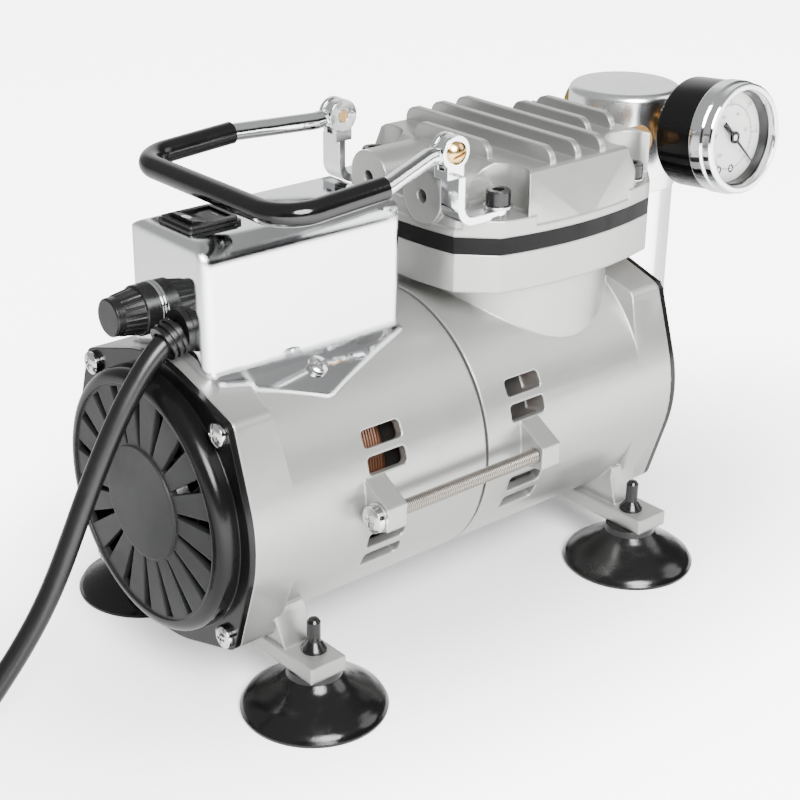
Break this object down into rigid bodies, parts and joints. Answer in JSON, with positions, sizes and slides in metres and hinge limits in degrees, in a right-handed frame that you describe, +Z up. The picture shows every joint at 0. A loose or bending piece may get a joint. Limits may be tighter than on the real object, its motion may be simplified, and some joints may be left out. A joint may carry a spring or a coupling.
{
  "type": "vacuum pump",
  "caption": "Portable oil-free piston vacuum pump: fan-cooled cast motor, finned cylinder head, clear moisture trap with vacuum gauge, folding carrying handle, suction feet and mains lead.",
  "frame": {"origin": "on the table, at the middle of the footprint without the mains lead", "axes": "+X along the motor axis from the fuse and lead end to the moisture trap; +Z up; the gauge faces -Y"},
  "size_m": [0.4334, 0.2376, 0.1761],
  "materials": {
    "cast_silver": "satin silver paint",
    "black_cover": "semi-gloss black",
    "chrome": "polished",
    "zinc_steel": "zinc plated",
    "lamination_steel": "machined",
    "copper_winding": "varnished wire",
    "bearing_steel": "ground",
    "fan_plastic": "matte",
    "bare_aluminium": "as cast",
    "seal_rubber": "matte",
    "black_plate": "satin black",
    "black_screws": "blackened, oiled",
    "brass": "turned",
    "black_gloss": "gloss",
    "black_plastic": "satin",
    "clear_glass": "clear",
    "clear_jar": "clear plastic",
    "black_rubber": "glossy",
    "sintered_bronze": "porous",
    "white_filter": "matte",
    "white_dial": "matte white",
    "black_needle": "matte black",
    "black_cord": "satin"
  },
  "bodies": {
    "pump": {"rear_motor_housing": "cast_silver", "crankcase_housing": "cast_silver", "cylinder_head": "cast_silver", "rear_fan_cover": "black_cover", "front_fan_cover": "black_cover", "rear_cover_screws": "chrome", "front_cover_screws": "chrome", "tie_bolts": "zinc_steel", "tie_washers": "zinc_steel", "stator_core": "lamination_steel", "stator_windings": "copper_winding", "shaft_bearings": "bearing_steel", "cylinder_sleeve": "bearing_steel", "valve_plate": "black_plate", "reed_valves": "bearing_steel", "head_screws": "black_screws", "head_washers": "zinc_steel", "handle_brackets": "chrome", "handle_pivots": "brass", "terminal_box": "chrome", "box_screws": "chrome", "run_capacitor": "bare_aluminium", "switch_frame": "black_plastic", "fuse_holder": "black_plastic", "fuse_ring": "chrome", "cord_bush": "black_plastic", "foot_rear_left": "black_rubber", "foot_rear_right": "black_rubber", "foot_front_left": "black_rubber", "foot_front_right": "black_rubber", "trap_nipple": "brass", "exhaust_silencer": "sintered_bronze", "trap_cap": "chrome", "trap_filter": "white_filter", "inlet_bush": "brass", "gauge_stem": "brass", "gauge_case": "black_gloss", "gauge_bezel": "chrome", "gauge_glass": "clear_glass", "gauge_dial": "white_dial", "cord_run": "black_cord", "cord_coil": "black_cord", "cord_plug": "black_plastic"},
    "rotor": {"motor_shaft": "bearing_steel", "rotor_core": "lamination_steel", "rear_fan": "fan_plastic", "front_fan": "fan_plastic", "eccentric": "lamination_steel"},
    "rod": {"connecting_rod": "bare_aluminium", "piston_seal": "seal_rubber"},
    "handle": {"handle_rod": "chrome", "handle_grip": "black_gloss"},
    "rocker": {"switch_rocker": "black_gloss"},
    "fuse": {"fuse_link": "clear_glass"},
    "fuse_cap": {"fuse_cap": "black_plastic"},
    "needle": {"gauge_needle": "black_needle"},
    "jar_ring": {"trap_seal": "seal_rubber"},
    "jar": {"trap_jar": "clear_jar"}
  },
  "joints": [
    {"name": "rotor_spin", "type": "hinge", "parent": "pump", "child": "rotor", "pos_m": [0.0294, 0, 0.065], "axis": [1, 0, 0], "continuous": true},
    {"name": "rod_swing", "type": "hinge", "parent": "rotor", "child": "rod", "pos_m": [0.0294, 0, 0.0685], "axis": [1, 0, 0], "continuous": true},
    {"name": "handle_fold", "type": "hinge", "parent": "pump", "child": "handle", "pos_m": [-0.023, 0, 0.1703], "axis": [0, 1, 0], "range_deg": [0, 100]},
    {"name": "switch_rock", "type": "hinge", "parent": "pump", "child": "rocker", "pos_m": [-0.1015, 0, 0.1538], "axis": [0, -1, 0], "range_deg": [0, 14]},
    {"name": "fuse_pull", "type": "slide", "parent": "pump", "child": "fuse", "axis": [-1, 0, 0], "range_m": [0, 0.032]},
    {"name": "fuse_cap_turn", "type": "hinge", "parent": "fuse", "child": "fuse_cap", "pos_m": [-0.115, 0.0086, 0.1274], "axis": [-1, 0, 0], "range_deg": [0, 45]},
    {"name": "needle_sweep", "type": "hinge", "parent": "pump", "child": "needle", "pos_m": [0.1096, -0.03993, 0.15437], "axis": [0, -0.9956, 0.0941], "range_deg": [0, 270], "stiffness_Nm_per_rad": 0.00001},
    {"name": "jar_drop", "type": "slide", "parent": "pump", "child": "jar_ring", "axis": [0, 0, -1], "range_m": [0, 0.045]},
    {"name": "jar_turn", "type": "hinge", "parent": "jar_ring", "child": "jar", "pos_m": [0.1096, 0.0146, 0.141], "axis": [0, 0, 1], "range_deg": [0, 360]}
  ],
  "couplings": [
    {"joint": "rod_swing", "follows": "rotor_spin", "ratio": -1}
  ]
}
